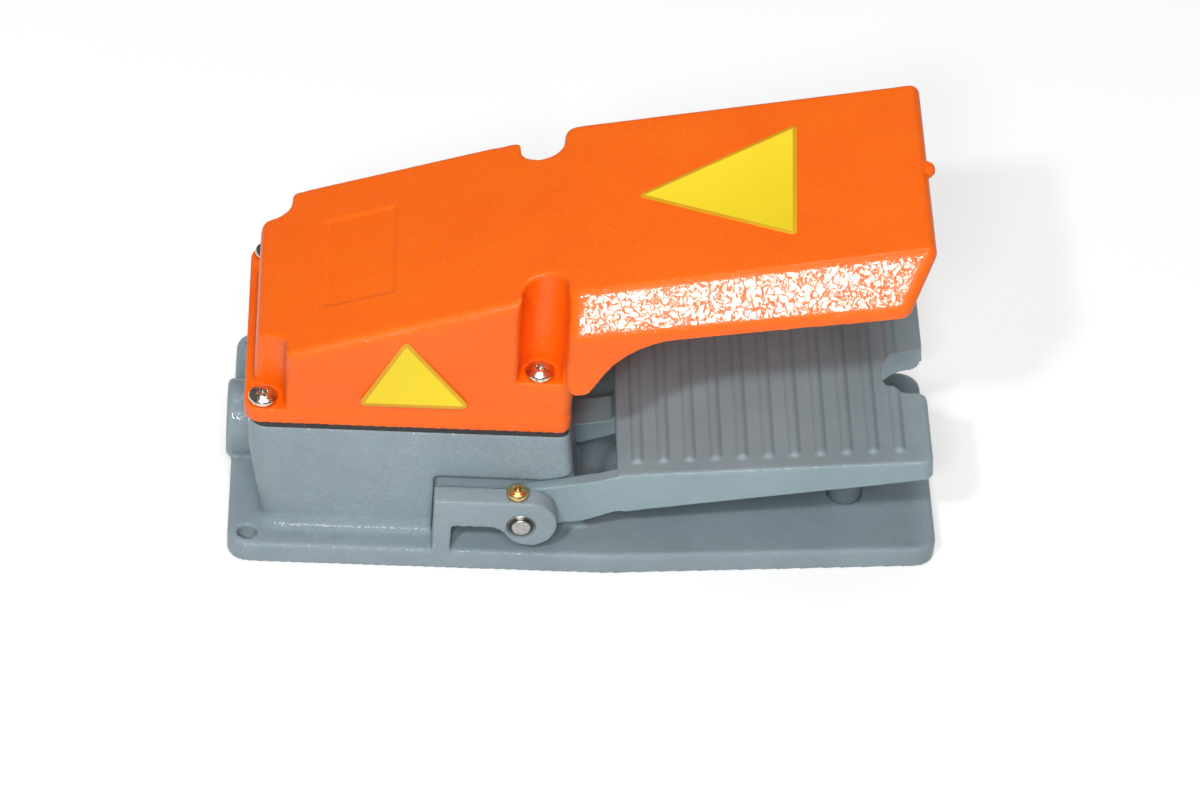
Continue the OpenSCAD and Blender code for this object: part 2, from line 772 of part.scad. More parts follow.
module hood_inside() {
    hull() {
        for (x = [roof_bend_x + cover_t, hood_front_x + hood_rake]) {
            hood_section(x, cover_t + cover_inner_r, cover_inner_r, 0, inner_fn);
            translate([x, 0, roof_top(x) - hood_deep - cover_edge_r])
                cube([cover_inner_r, hood_w(x) - 2 * cover_t, cover_inner_r], center = true);
        }
    }
}

// Side view of the hood with the cheek that curves down at its rear end
module hood_outline() {
    lip_z = roof_bend_z - slant_h(hood_rear_w) - lip_h;
    lip_pitch = atan(tan(hood_pitch) - (slant_h(hood_front_w) - slant_h(hood_rear_w)) / hood_l);
    left = roof_bend_x - cover_edge_r;
    tip_z = lip_z - cheek_h;
    tip_x = left + cheek_tip_r;
    tip_end = [tip_x, tip_z + cheek_tip_r] + cheek_tip_r * [sin(cheek_angle), -cos(cheek_angle)];
    up = [cos(cheek_angle), sin(cheek_angle)];
    along = [cos(lip_pitch), sin(lip_pitch)];
    lip_gap = lip_z + (tip_end.x - roof_bend_x) * tan(lip_pitch) - tip_end.y;
    corner = tip_end + up * lip_gap / (up.y - up.x * tan(lip_pitch));
    tangent_l = cheek_blend_r * tan((cheek_angle - lip_pitch) / 2);
    blend_c = corner - up * tangent_l + cheek_blend_r * [sin(cheek_angle), -cos(cheek_angle)];
    lip_end = corner + along * (hood_l + cover_edge_r);
    front = hood_front_x + cover_t;
    polygon(concat(
        arc([tip_x, tip_z + cheek_tip_r], cheek_tip_r, 180, 270 + cheek_angle, 16),
        arc(blend_c, cheek_blend_r, 90 + cheek_angle, 90 + lip_pitch, 16),
        [lip_end, [lip_end.x, roof_top(front) - hood_deep / 2], [front, roof_top(front) - roof_lid],
         [roof_bend_x, roof_bend_z - roof_lid], [left, roof_top(left) - roof_lid]]));
}

module hood_nub() {
    x = hood_front_x + nub_out - nub_r;
    translate([x, 0, roof_top(x)]) rotate([0, -hood_pitch, 0]) {
        translate([0, 0, -cover_t]) cylinder(r = nub_r, h = cover_t * 0.6);
        translate([0, 0, -cover_t * 0.4]) cylinder(r1 = nub_r, r2 = nub_r * 0.8, h = cover_t * 0.2);
    }
}

module cover() {
    plate_x = roof_rear_x + (roof_bend_x - roof_rear_x) * plate_x_share;
    bend_y = screw_y - pocket_r - cover_edge_r;
    color([1, 0.41, 0.06]) difference() {
        union() {
            translate([0, 0, cover_z]) linear_extrude(flange_h)
                round_rect(flange_rear_x, rim_front_x, flange_y, housing_corner_r, housing_front_r);
            intersection() {
                box_outside();
                side_solid(-hood_front_w, hood_front_w) roof_outline();
                union() {
                    translate([0, 0, cover_z]) linear_extrude(front_ledge_h) cover_plan([rear_screw_x]);
                    translate([0, 0, front_ledge_z]) linear_extrude(roof_bend_z)
                        cover_plan([rear_screw_x, front_screw_x]);
                }
            }
            difference() {
                intersection() {
                    hood_outside();
                    side_solid(-hood_front_w, hood_front_w) hood_outline();
                }
                hood_inside();
            }
            side_solid(-bend_y, bend_y) polygon([
                [roof_bend_x - cover_t, roof_bend_z - cover_t], [roof_bend_x + cover_t / 2, roof_bend_z - cover_t],
                [roof_bend_x + cover_t / 2, roof_top(roof_bend_x + cover_t / 2) - roof_lid],
                [roof_bend_x, roof_bend_z - roof_lid], [roof_bend_x - cover_t, roof_top(roof_bend_x - cover_t) - roof_lid]]);
            hood_nub();
        }
        difference() {
            box_inside();
            both_sides() {
                for (x = [rear_screw_x, front_screw_x]) {
                    translate([x, screw_y, cover_z - over])
                        cylinder(r = pocket_r + pocket_wall, h = roof_bend_z);
                }
            }
        }
        both_sides() {
            for (x = [rear_screw_x, front_screw_x]) {
                translate([x, screw_y, cover_z - over])
                    cylinder(d = cover_screw_d + side_gap, h = front_ledge_h + 2 * over);
            }
        }
        translate([plate_x, 0, roof_top(plate_x)]) rotate([0, -rear_pitch, 0])
            translate([-plate_l / 2, -plate_w / 2, -plate_depth]) cube([plate_l, plate_w, plate_depth + over]);
    }
}

module cover_gasket() {
    lip = side_gap;
    color([0.06, 0.06, 0.065]) translate([0, 0, rim_z]) linear_extrude(gasket_t) difference() {
        round_rect(rim_rear_x + lip, rim_front_x - lip, rim_y - lip, housing_corner_r - lip, housing_front_r - lip);
        difference() {
            round_rect(cavity_rear_x, cavity_front_x, cavity_y, housing_corner_r, housing_front_r);
            for (s = [-1, 1]) {
                translate([front_screw_x, s * screw_y]) circle(column_r);
            }
        }
        for (x = [rear_screw_x, front_screw_x]) {
            for (s = [-1, 1]) {
                translate([x, s * screw_y]) circle(d = cover_screw_d + side_gap);
            }
        }
    }
}

module cover_screws_rear() {
    color([0.75, 0.73, 0.68]) both_sides() translate([rear_screw_x, screw_y, flange_z])
        pan_screw(cover_head_d, cover_head_h, cover_screw_d, flange_h + gasket_t + cover_screw_grip);
}

module cover_screws_front() {
    color([0.75, 0.73, 0.68]) both_sides() translate([front_screw_x, screw_y, front_ledge_z])
        pan_screw(cover_head_d, cover_head_h, cover_screw_d, front_ledge_h + gasket_t + cover_screw_grip);
}

// Treadle casting

module treadle_outside() {
    slope_l = tread_l / cos(tread_pitch);
    translate([treadle_x, 0, treadle_z]) rotate([0, -tread_pitch, 0]) hull() {
        for (s = [-1, 1]) {
            translate([tread_rear_r, s * (treadle_y - tread_rear_r), -skirt_rear_h])
                edge_disc(tread_rear_r, tread_edge_r, skirt_rear_h);
            translate([slope_l - tread_front_r, s * (treadle_y - tread_front_r), -skirt_front_h])
                edge_disc(tread_front_r, tread_edge_r, skirt_front_h);
        }
    }
}

// Hollow under the tread
module treadle_hollow() {
    x0 = treadle_x + 1.5 * tread_t;
    x1 = tread_front_x - tread_t;
    side_solid(tread_t - treadle_y, treadle_y - tread_t) polygon([
        [x0, 0], [x1, 0], [x1, tread_top(x1) - tread_t], [x0, tread_top(x0) - tread_t]]);
}

module notch_plan(grow) {
    c = tread_front_x - notch_l + notch_r;
    r = notch_r + grow;
    translate([c, 0]) circle(r);
    translate([c, -r]) square([tread_front_x - c + 2 * over, 2 * r]);
}

module notch_lips() {
    c = tread_front_x - notch_lip_r;
    for (s = [-1, 1]) {
        difference() {
            translate([c, s > 0 ? notch_r - over : -notch_r - notch_lip_r]) square([notch_lip_r + 2 * over, notch_lip_r + over]);
            translate([c, s * (notch_r + notch_lip_r)]) circle(notch_lip_r);
        }
    }
}

// Rib that runs along the treadle, its foot level with the skirt
module treadle_rib(y) {
    side_solid(y - tread_t / 2, y + tread_t / 2) polygon([
        [treadle_x + tread_t / 2, treadle_z - skirt_rear_h + tread_t],
        [tread_front_x - notch_l, tread_top(tread_front_x) - skirt_front_h],
        [tread_front_x - notch_l, tread_top(tread_front_x - notch_l) - tread_t / 2],
        [treadle_x + tread_t / 2, treadle_z - tread_t / 2]]);
}

module ridges() {
    sphere_r = (ridge_w * ridge_w / 4 + ridge_h * ridge_h) / (2 * ridge_h);
    first_x = treadle_x + ridge_pitch * 0.82;
    for (i = [0 : ridge_n - 1]) {
        x = first_x + i * ridge_pitch;
        translate([x, 0, tread_top(x) + ridge_h - sphere_r]) {
            rotate([90, 0, 0]) cylinder(r = sphere_r, h = ridge_l, center = true, $fn = 24);
            both_sides() translate([0, ridge_l / 2, 0]) sphere(sphere_r, $fn = 24);
        }
    }
}

// Outline of an arm in X and Z, from its hub to under the tread
module arm_outline() {
    join_x = treadle_x + treadle_reach / 4;
    lid = slice / 2;
    translate([pivot_x, pivot_z]) circle(hub_r);
    polygon([
        [pivot_x - hub_r * sin(tread_pitch), pivot_z - hub_r * cos(tread_pitch)],
        [treadle_x - treadle_reach * 0.3, pivot_z - hub_r * 0.45],
        [treadle_x, treadle_z - skirt_rear_h],
        [join_x, treadle_z - skirt_rear_h + tread_edge_r],
        [join_x, tread_top(join_x) - lid],
        [treadle_x, treadle_z - tread_edge_r / 2],
        [treadle_x - treadle_reach * 0.18, treadle_z - 2 * tread_edge_r],
        [pivot_x - hub_r * sin(arm_pitch), pivot_z + hub_r * cos(arm_pitch)]]);
}

module tongue() {
    stem_x = treadle_x + tread_t / 2;
    side_solid(-tongue_w / 2, tongue_w / 2) polygon([
        [tongue_rear_x, tongue_bottom_z], [foot_front_x, tongue_bottom_z],
        [stem_x, treadle_z - skirt_rear_h], [stem_x, treadle_z - tread_t],
        [treadle_x, tongue_top_z + tongue_h / 4], [foot_front_x, tongue_top_z], [tongue_rear_x, tongue_top_z]]);
    translate([spring_x, 0, tongue_top_z - slice])
        cylinder(d = spring_inner_d - 2 * side_gap, h = spring_wire + slice);
}

// Underside of the bosses that meet the buffers at the end of the stroke
buffer_boss_z = pivot_z + (base_t + buffer_h + side_gap - pivot_z
    + (buffer_x + buffer_d / 2 + over - pivot_x) * sin(stroke)) / cos(stroke);

module treadle() {
    color([0.55, 0.6, 0.63]) difference() {
        union() {
            difference() {
                union() {
                    treadle_outside();
                    ridges();
                }
                difference() {
                    treadle_hollow();
                    linear_extrude(rim_z) notch_plan(tread_t);
                    both_sides() {
                        treadle_rib(treadle_y / 2.4);
                        translate([buffer_x, buffer_y, buffer_boss_z]) cylinder(d = buffer_d, h = rim_z - buffer_boss_z);
                    }
                }
                linear_extrude(2 * rim_z) {
                    notch_plan(0);
                    notch_lips();
                }
            }
            both_sides() side_solid(arm_y, treadle_y) arm_outline();
            tongue();
        }
        both_sides() translate([pivot_x, arm_y - over, pivot_z]) rotate([-90, 0, 0])
            cylinder(d = pin_d + 2 * turn_gap, h = arm_t + 2 * over);
        translate([adjuster_x, 0, tongue_bottom_z - over])
            cylinder(d = adjuster_d + 2 * fixed_play, h = tongue_h + 2 * over);
    }
}

module pivot_pins() {
    inner_y = recess_y - pin_seat_l + fixed_play;
    tip = lock_screw_d / 4;
    color([0.7, 0.7, 0.68]) both_sides() difference() {
        translate([pivot_x, inner_y, pivot_z]) rotate([-90, 0, 0]) {
            cylinder(d = pin_d, h = side_y - inner_y - pin_bevel);
            translate([0, 0, side_y - inner_y - pin_bevel])
                cylinder(d1 = pin_d, d2 = pin_d - 2 * pin_bevel, h = pin_bevel);
        }
        translate([lock_x, lock_y, pivot_z + pin_d / 2 - tip - fixed_play])
            cylinder(d = lock_screw_d + 2 * fixed_play, h = pin_d);
    }
}

module pin_lock_screws() {
    tip = lock_screw_d / 4;
    color([0.8, 0.66, 0.3]) both_sides() translate([lock_x, lock_y, ear_top_z])
        pan_screw(lock_head_d, lock_head_h, lock_screw_d, ear_top_z - pivot_z - pin_d / 2 + tip);
}

// Return spring and its seats

// Height of the wire at turn t, close at both ends and open between
spring_ends = 1;
spring_end_rise = spring_wire * 1.4;
function spring_rise(t) = t < spring_ends ? spring_end_rise * t / spring_ends
    : t > spring_turns + spring_ends
        ? spring_l - spring_wire - spring_end_rise * (spring_turns + 2 * spring_ends - t) / spring_ends
        : spring_end_rise + (spring_l - spring_wire - 2 * spring_end_rise) * (t - spring_ends) / spring_turns;

tube_sides = 6;
spring_coil_r = (spring_d - spring_wire) / 2;
spring_rings = (spring_turns + 2 * spring_ends) * ring_steps;
spring_points = [for (i = [0 : spring_rings]) for (k = [0 : tube_sides - 1])
    let (turn = 360 * i / ring_steps, side = 360 * k / tube_sides,
         r = spring_coil_r + spring_wire / 2 * cos(side))
    [r * cos(turn), r * sin(turn), spring_wire / 2 + spring_rise(i / ring_steps) + spring_wire / 2 * sin(side)]];
spring_faces = concat(
    [[for (k = [0 : tube_sides - 1]) k]],
    [for (i = [0 : spring_rings - 1]) for (k = [0 : tube_sides - 1]) each
        let (a = i * tube_sides + k, b = i * tube_sides + (k + 1) % tube_sides,
             c = a + tube_sides, d = b + tube_sides) [[a, c, b], [b, c, d]]],
    [[for (k = [tube_sides - 1 : -1 : 0]) spring_rings * tube_sides + k]]);
// Least gap between one turn and the next, measured on the rings
spring_gap = min([for (i = [0 : spring_rings - ring_steps])
    norm([0, 0, spring_rise(i / ring_steps + 1) - spring_rise(i / ring_steps)]) - spring_wire]);

module return_spring() {
    echo(least_gap = spring_gap);
    color([0.6, 0.6, 0.62]) translate([spring_x, 0, tongue_top_z]) polyhedron(spring_points, spring_faces);
}

bridge_y = tongue_w / 2 + bridge_gap;
bridge_l = spring_d + 2 * bridge_rim;

module spring_bridge() {
    foot_y = bridge_foot_y + boss_r;
    top_z = spring_top_z + sheet_t;
    color([0.72, 0.72, 0.7]) difference() {
        translate([spring_x - bridge_l / 2, 0, 0]) {
            translate([0, -bridge_y - sheet_t, spring_top_z]) cube([bridge_l, 2 * (bridge_y + sheet_t), sheet_t]);
            both_sides() {
                translate([0, bridge_y, boss_top_z]) cube([bridge_l, sheet_t, top_z - boss_top_z]);
                translate([0, bridge_y, boss_top_z]) cube([bridge_l, foot_y - bridge_y, sheet_t]);
            }
        }
        both_sides() translate([spring_x, bridge_foot_y, boss_top_z - over])
            cylinder(d = small_screw_d + side_gap, h = sheet_t + 2 * over);
        translate([spring_x, 0, spring_top_z - over])
            cylinder(d = spring_d / 2 + 2 * fixed_play, h = sheet_t + 2 * over);
    }
}

// Turned cap whose spigot centres the spring and whose stem sits in the bridge
module spring_cap() {
    color([0.78, 0.72, 0.5]) translate([spring_x, 0, spring_top_z]) {
        translate([0, 0, -spring_wire]) cylinder(d = spring_inner_d - 2 * side_gap, h = spring_wire);
        cylinder(d = spring_d / 2, h = sheet_t);
        translate([0, 0, sheet_t]) cylinder(d = spring_d * 0.7, h = sheet_t / 2);
    }
}

module bridge_screws() {
    color([0.75, 0.73, 0.68]) both_sides() translate([spring_x, bridge_foot_y, boss_top_z + sheet_t])
        pan_screw(small_head_d, small_head_h, small_screw_d, boss_top_z);
}

module rest_pad() {
    color([0.08, 0.08, 0.08]) translate([rest_x, 0, floor_t + rest_boss_h]) cylinder(d = rest_pad_d, h = rest_pad_h);
}

module stop_buffers() {
    color([0.08, 0.08, 0.08]) both_sides() translate([buffer_x, buffer_y, base_t - buffer_seat])
        cylinder(d = buffer_d, h = buffer_h + buffer_seat);
}

module adjusting_screw() {
    color([0.7, 0.7, 0.7]) translate([adjuster_x, 0, adjuster_top_z - adjuster_head_h]) {
        cylinder(d = adjuster_head_d, h = adjuster_head_h);
        translate([0, 0, tongue_bottom_z - adjuster_top_z + adjuster_head_h])
            cylinder(d = adjuster_d, h = adjuster_top_z - adjuster_head_h - tongue_bottom_z);
    }
}

module adjusting_nut() {
    color([0.75, 0.73, 0.68]) translate([adjuster_x, 0, tongue_top_z]) difference() {
        cylinder(d = nut_flats / cos(30), h = nut_h, $fn = 6);
        translate([0, 0, -over]) cylinder(d = adjuster_d + 2 * fixed_play, h = nut_h + 2 * over);
    }
}

// Snap switch

lid_t = 2.4;
switch_holes_x = [switch_mid_x - switch_pitch / 2, switch_mid_x + switch_pitch / 2];
terminal_w = switch_l / 8;
terminal_t = 1;
terminals_x = [switch_rear_x + terminal_w, switch_mid_x, switch_rear_x + switch_l - terminal_w];

module switch_holes(y0, y1) {
    for (x = switch_holes_x) {
        translate([x, y0 - over, switch_mid_z]) rotate([-90, 0, 0])
            cylinder(d = small_screw_d + 2 * fixed_play, h = y1 - y0 + 2 * over);
    }
}

module switch_case() {
    lug = lever_pin_d * 1.5;
    color([0.13, 0.12, 0.12]) difference() {
        union() {
            translate([switch_rear_x, lid_t - switch_y, switch_z]) cube([switch_l, switch_w - lid_t, switch_h]);
            both_sides() translate([lever_pin_x, lever_w / 2 + side_gap, lever_pin_z]) rotate([-90, 0, 0])
                cylinder(r = lug, h = lid_t / 2 + side_gap);
            both_sides() translate([lever_pin_x - lever_pin_d, lever_w / 2 + side_gap, lever_pin_z])
                cube([lug + lever_pin_d, lid_t / 2 + side_gap, switch_z + slice - lever_pin_z]);
        }
        switch_holes(-switch_y, switch_y);
        translate([plunger_x, 0, switch_z - over]) cylinder(d = plunger_d + 2 * turn_gap, h = switch_h / 3 + over);
        translate([lever_pin_x, -switch_y, lever_pin_z]) rotate([-90, 0, 0])
            cylinder(d = lever_pin_d + 2 * fixed_play, h = switch_w);
    }
}

module switch_lid() {
    color([0.2, 0.19, 0.19]) difference() {
        translate([switch_rear_x, -switch_y, switch_z]) cube([switch_l, lid_t, switch_h]);
        switch_holes(-switch_y, lid_t - switch_y);
    }
}

module switch_plunger() {
    color([0.75, 0.2, 0.15]) translate([plunger_x, 0, switch_z - plunger_show])
        cylinder(d = plunger_d, h = plunger_show + switch_h / 3 - plunger_travel - side_gap);
}

module switch_lever() {
    fork_w = (lever_w - roller_w - 2 * side_gap) / 2;
    color([0.74, 0.74, 0.72]) difference() {
        union() {
            translate([lever_pin_x, 0, lever_pin_z]) rotate([0, lever_tilt, 0]) {
                translate([0, -lever_w / 2, -lever_pin_d / 2 - lever_t])
                    cube([lever_l - roller_d / 2 - side_gap - lever_pin_d / 2, lever_w, lever_t]);
                rotate([90, 0, 0]) cylinder(r = lever_pin_d / 2 + lever_t, h = lever_w, center = true);
                both_sides() side_solid(roller_w / 2 + side_gap, lever_w / 2) {
                    translate([lever_l, -roller_drop]) circle(roller_d / 3);
                    polygon([[lever_l - roller_d, -lever_pin_d / 2], [lever_l, -lever_pin_d / 2 - lever_t],
                             [lever_l + roller_d / 3, -roller_drop],
                             [lever_l - roller_d / 3, -roller_drop - roller_d / 4],
                             [lever_l - roller_d, -lever_pin_d / 2 - lever_t]]);
                }
            }
        }
        translate([lever_pin_x, 0, lever_pin_z]) rotate([90, 0, 0])
            cylinder(d = lever_pin_d + 2 * turn_gap, h = 2 * lever_w, center = true);
        translate([roller_x, 0, roller_z]) rotate([90, 0, 0])
            cylinder(d = lever_pin_d + 2 * fixed_play, h = 2 * lever_w, center = true);
    }
}

module lever_pin() {
    color([0.8, 0.8, 0.8]) translate([lever_pin_x, 0, lever_pin_z]) rotate([90, 0, 0])
        cylinder(d = lever_pin_d, h = lever_w + 2 * side_gap + lid_t, center = true);
}

module lever_roller() {
    color([0.9, 0.88, 0.8]) translate([roller_x, 0, roller_z]) rotate([90, 0, 0]) difference() {
        cylinder(d = roller_d, h = roller_w, center = true);
        cylinder(d = lever_pin_d + 2 * turn_gap, h = 2 * roller_w, center = true);
    }
}

module roller_pin() {
    color([0.8, 0.8, 0.8]) translate([roller_x, 0, roller_z]) rotate([90, 0, 0])
        cylinder(d = lever_pin_d, h = lever_w, center = true);
}

module switch_terminals() {
    color([0.85, 0.7, 0.35]) for (x = terminals_x) {
        translate([x - terminal_w / 2, -terminal_w / 2, switch_z + switch_h]) difference() {
            cube([terminal_w, terminal_w, terminal_t]);
            translate([terminal_w / 2, terminal_w / 2, -over])
                cylinder(d = terminal_w / 2 + 2 * fixed_play, h = terminal_t + 2 * over);
        }
    }
}

module terminal_screws() {
    color([0.75, 0.73, 0.68]) for (x = terminals_x) {
        translate([x, 0, switch_z + switch_h + terminal_t]) pan_screw(terminal_w, terminal_w / 3, terminal_w / 2, terminal_t);
    }
}

// Upright sheet that carries the switch, with a foot on two bosses of the floor
module switch_bracket() {
    foot_x0 = bracket_feet_x[0] - boss_r;
    foot_x1 = bracket_feet_x[1] + boss_r;
    head_x0 = switch_holes_x[0] - boss_r;
    head_x1 = switch_holes_x[1] + boss_r;
    color([0.72, 0.72, 0.7]) difference() {
        union() {
            side_solid(switch_y, switch_y + sheet_t) polygon([
                [foot_x0, boss_top_z], [foot_x1, boss_top_z], [foot_x1, switch_mid_z - boss_r],
                [head_x1, switch_mid_z + boss_r], [head_x0, switch_mid_z + boss_r],
                [head_x0, switch_mid_z - boss_r], [foot_x0, switch_z - boss_r]]);
            translate([foot_x0, switch_y, boss_top_z])
                cube([foot_x1 - foot_x0, bracket_foot_y + boss_r - switch_y, sheet_t]);
        }
        switch_holes(switch_y, switch_y + sheet_t);
        for (x = bracket_feet_x) {
            translate([x, bracket_foot_y, boss_top_z - over])
                cylinder(d = small_screw_d + side_gap, h = sheet_t + 2 * over);
        }
    }
}

module bracket_screws() {
    color([0.75, 0.73, 0.68]) for (x = bracket_feet_x) {
        translate([x, bracket_foot_y, boss_top_z + sheet_t])
            pan_screw(small_head_d, small_head_h, small_screw_d, boss_top_z);
    }
}

module switch_screws() {
    color([0.75, 0.73, 0.68]) for (x = switch_holes_x) {
        translate([x, -switch_y, switch_mid_z]) rotate([90, 0, 0])
            pan_screw(small_head_d, small_head_h, small_screw_d, switch_w + sheet_t + nut_h);
    }
}

module switch_nuts() {
    color([0.75, 0.73, 0.68]) for (x = switch_holes_x) {
        translate([x, switch_y + sheet_t + nut_h, switch_mid_z]) rotate([90, 0, 0]) difference() {
            cylinder(d = small_head_d, h = nut_h, $fn = 6);
            translate([0, 0, -over]) cylinder(d = small_screw_d + 2 * fixed_play, h = nut_h + 2 * over);
        }
    }
}

// Earth terminal on the floor, by the inlet

module earth_screw() {
    color([0.85, 0.7, 0.35]) translate([earth_place.x, earth_place.y, boss_top_z + terminal_t])
        pan_screw(small_head_d, small_head_h, small_screw_d, boss_top_z - terminal_t);
}

module earth_washer() {
    color([0.85, 0.7, 0.35]) translate([earth_place.x, earth_place.y, boss_top_z]) difference() {
        cylinder(r = boss_r, h = terminal_t);
        translate([0, 0, -over]) cylinder(d = small_screw_d + side_gap, h = terminal_t + 2 * over);
    }
}

base_housing();
cover();
cover_gasket();
cover_screws_rear();
cover_screws_front();
treadle();
pivot_pins();
pin_lock_screws();
return_spring();
spring_bridge();
spring_cap();
bridge_screws();
rest_pad();
stop_buffers();
adjusting_screw();
adjusting_nut();
switch_case();
switch_lid();
switch_plunger();
switch_lever();
lever_pin();
lever_roller();
roller_pin();
switch_terminals();
terminal_screws();
switch_bracket();
bracket_screws();
switch_screws();
switch_nuts();
earth_screw();
earth_washer();
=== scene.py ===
import json
import math

import bmesh
import bpy
from mathutils import Matrix, Vector

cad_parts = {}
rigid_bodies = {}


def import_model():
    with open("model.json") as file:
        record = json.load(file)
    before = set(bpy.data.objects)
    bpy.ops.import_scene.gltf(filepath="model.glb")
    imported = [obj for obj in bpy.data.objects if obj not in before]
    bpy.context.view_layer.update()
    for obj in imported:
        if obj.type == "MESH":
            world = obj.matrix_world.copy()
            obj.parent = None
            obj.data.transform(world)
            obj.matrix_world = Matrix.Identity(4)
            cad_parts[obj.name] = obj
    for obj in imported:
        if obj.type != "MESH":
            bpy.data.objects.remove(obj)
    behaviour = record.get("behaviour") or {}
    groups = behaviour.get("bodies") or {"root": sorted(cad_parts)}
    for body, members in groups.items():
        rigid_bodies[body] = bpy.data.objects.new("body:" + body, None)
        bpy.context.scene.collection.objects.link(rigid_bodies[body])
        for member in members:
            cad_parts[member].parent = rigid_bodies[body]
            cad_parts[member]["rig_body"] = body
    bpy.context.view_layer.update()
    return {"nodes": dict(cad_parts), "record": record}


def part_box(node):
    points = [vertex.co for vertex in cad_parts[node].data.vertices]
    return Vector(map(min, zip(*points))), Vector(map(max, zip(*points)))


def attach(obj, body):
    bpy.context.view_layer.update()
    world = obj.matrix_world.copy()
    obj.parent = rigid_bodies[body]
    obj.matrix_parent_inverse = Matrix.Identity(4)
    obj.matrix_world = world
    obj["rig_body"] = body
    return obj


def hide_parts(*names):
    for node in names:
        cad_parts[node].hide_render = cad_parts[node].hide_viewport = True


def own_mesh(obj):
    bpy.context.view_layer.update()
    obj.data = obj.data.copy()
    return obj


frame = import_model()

MM = 0.001
scene = bpy.context.scene
nodes = frame["nodes"]
body_of = {n: o["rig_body"] for n, o in nodes.items()}


def slot_name(node):
    """The record's slot of a CAD node, from the material that came with it."""
    found = nodes[node].data.materials[0].name
    return next(m["slot"] for m in frame["record"]["materials"] if found.startswith(m["slot"]))


# Materials. Sizes and heights are in mm, colours are linear.

class Net:
    """Small helper that builds one node material."""

    def __init__(self, name):
        self.mat = bpy.data.materials.new(name)
        self.mat.use_nodes = True
        self.tree = self.mat.node_tree
        self.shader = self.tree.nodes["Principled BSDF"]
        self.where = self.add("ShaderNodeTexCoord").outputs["Object"]

    def add(self, kind, **values):
        n = self.tree.nodes.new(kind)
        for k, v in values.items():
            setattr(n, k, v)
        return n

    def link(self, a, b):
        self.tree.links.new(a, b)

    def pointiness(self):
        """Over 0.5 on edges and under it in hollows."""
        return self.add("ShaderNodeNewGeometry").outputs["Pointiness"]

    def math(self, operation, a, b=None):
        """Math node of one or two inputs, each of them a socket or a number."""
        m = self.add("ShaderNodeMath", operation=operation)
        for i, v in enumerate((a, b)):
            if isinstance(v, (float, int)):
                m.inputs[i].default_value = v
            elif v is not None:
                self.link(v, m.inputs[i])
        return m.outputs[0]

    def mapping(self, src, **values):
        m = self.add("ShaderNodeMapping")
        for k, v in values.items():
            m.inputs[k].default_value = v
        self.link(src, m.inputs["Vector"])
        return m.outputs["Vector"]

    def noise(self, size, detail, rough, stretch=None, distort=0.0):
        """Noise whose lumps are about `size` mm across."""
        src = self.mapping(self.where, Scale=stretch) if stretch else self.where
        n = self.add("ShaderNodeTexNoise")
        n.inputs["Scale"].default_value = 1.0 / (size * MM)
        n.inputs["Detail"].default_value = detail
        n.inputs["Roughness"].default_value = rough
        n.inputs["Distortion"].default_value = distort
        self.link(src, n.inputs["Vector"])
        return n.outputs["Fac"]

    def ramp(self, src, stops):
        r = self.add("ShaderNodeValToRGB")
        e = r.color_ramp.elements
        e[0].position, e[0].color = stops[0][0], (*stops[0][1], 1)
        e[1].position, e[1].color = stops[-1][0], (*stops[-1][1], 1)
        for p, c in stops[1:-1]:
            e.new(p).color = (*c, 1)
        self.link(src, r.inputs["Fac"])
        return r.outputs["Color"]

    def mix(self, fac, under, over):
        """The colour `over` laid on the socket `under` as far as `fac` says."""
        m = self.add("ShaderNodeMix", data_type="RGBA")
        self.link(fac, m.inputs[0])
        self.link(under, m.inputs[6])
        m.inputs[7].default_value = (*over, 1)
        return m.outputs[2]

    def span(self, src, lo, hi, a=0.0, b=1.0):
        """Maps lo..hi to a..b."""
        m = self.add("ShaderNodeMapRange")
        for k, v in (("From Min", lo), ("From Max", hi), ("To Min", a), ("To Max", b)):
            m.inputs[k].default_value = v
        self.link(src, m.inputs["Value"])
        return m.outputs["Result"]

    def bump(self, src, height, under=None):
        b = self.add("ShaderNodeBump")
        b.inputs["Distance"].default_value = height * MM
        b.inputs["Strength"].default_value = 1.0
        self.link(src, b.inputs["Height"])
        if under is not None:
            self.link(under, b.inputs["Normal"])
        return b.outputs["Normal"]

    def put(self, name, socket):
        """Links a socket to an input of the shader."""
        self.link(socket, self.shader.inputs[name])

    def patchy(self, size, detail, rough, lo, hi):
        """Roughness that drifts between lo and hi."""
        self.put("Roughness", self.span(self.noise(size, detail, rough), 0.3, 0.7, lo, hi))

    def set(self, **values):
        for k, v in values.items():
            self.shader.inputs[k.replace("_", " ")].default_value = v


def scaled(colour, by):
    return tuple(v * by for v in colour)


CREASE = 0.05       # width of the creases of the orange peel, in noise units
PAINTED_EDGE_HIGHLIGHT = (0.535, 0.6, 0.0, 0.55)      # pointiness from and to, share of the rim tone from and to: a painted highlight on edges
PAINTED_HOLLOW_SHADE = (0.482, 0.44, 0.0, 0.66)     # the same for the darker tone in hollows, a painted shade
